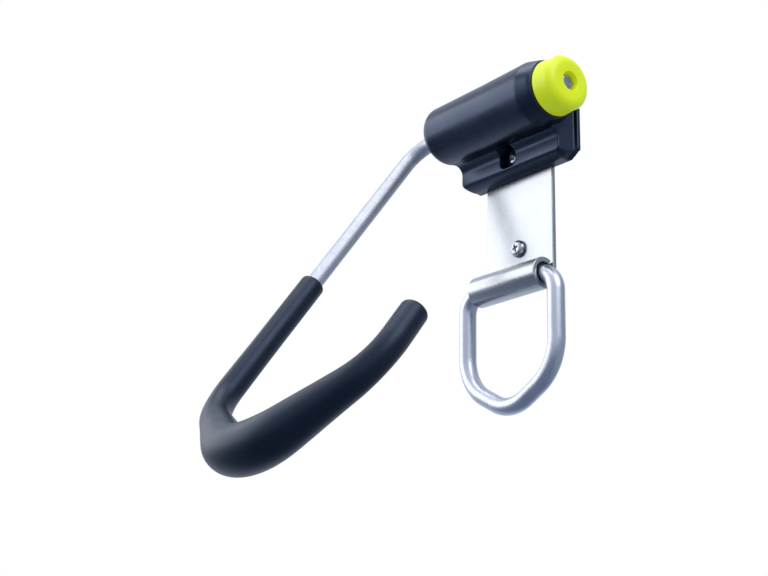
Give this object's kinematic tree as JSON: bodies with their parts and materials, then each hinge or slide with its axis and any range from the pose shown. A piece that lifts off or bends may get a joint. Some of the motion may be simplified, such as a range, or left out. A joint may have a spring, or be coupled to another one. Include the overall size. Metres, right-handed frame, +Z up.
{
  "type": "bicycle wall rack",
  "caption": "Wall rack for one bicycle: hinged rubber-covered wheel hook in a moulded barrel with a bumper cap, on a steel wall plate whose rolled eye carries a swinging lock ring.",
  "frame": {"origin": "on the wall plane, on the axis of the lower wall screw", "axes": "+Y into the wall, +Z up, +X along the wall towards the end cap"},
  "size_m": [0.1421, 0.1964, 0.222],
  "materials": {
    "zinc_plate": "bright zinc plated sheet steel",
    "moulded_housing": "satin moulded nylon",
    "bush_nylon": "natural nylon",
    "zinc_fastener": "zinc plated fastener steel",
    "hook_bar": "satin plated round bar",
    "cover_rubber": "smooth moulded rubber",
    "cap_rubber": "smooth lime rubber",
    "ring_bar": "bright plated round bar"
  },
  "bodies": {
    "wall_body": {"wall_plate": "zinc_plate", "barrel_housing": "moulded_housing", "left_pivot_bush": "bush_nylon", "right_pivot_bush": "bush_nylon", "upper_wall_screw": "zinc_fastener", "lower_wall_screw": "zinc_fastener"},
    "hook_body": {"hook_rod": "hook_bar", "cradle_cover": "cover_rubber", "stop_washer": "zinc_fastener", "end_cap": "cap_rubber", "cap_bolt_washer": "zinc_fastener", "retaining_bolt": "zinc_fastener"},
    "ring_body": {"lock_ring": "ring_bar"}
  },
  "joints": [
    {"name": "hook_swing", "type": "hinge", "parent": "wall_body", "child": "hook_body", "pos_m": [0, -0.021, 0.069], "axis": [1, 0, 0], "range_deg": [-143, 0]},
    {"name": "lock_ring_swing", "type": "hinge", "parent": "wall_body", "child": "ring_body", "pos_m": [0, -0.00815, -0.0196], "axis": [1, 0, 0], "range_deg": [-165, 3]}
  ]
}
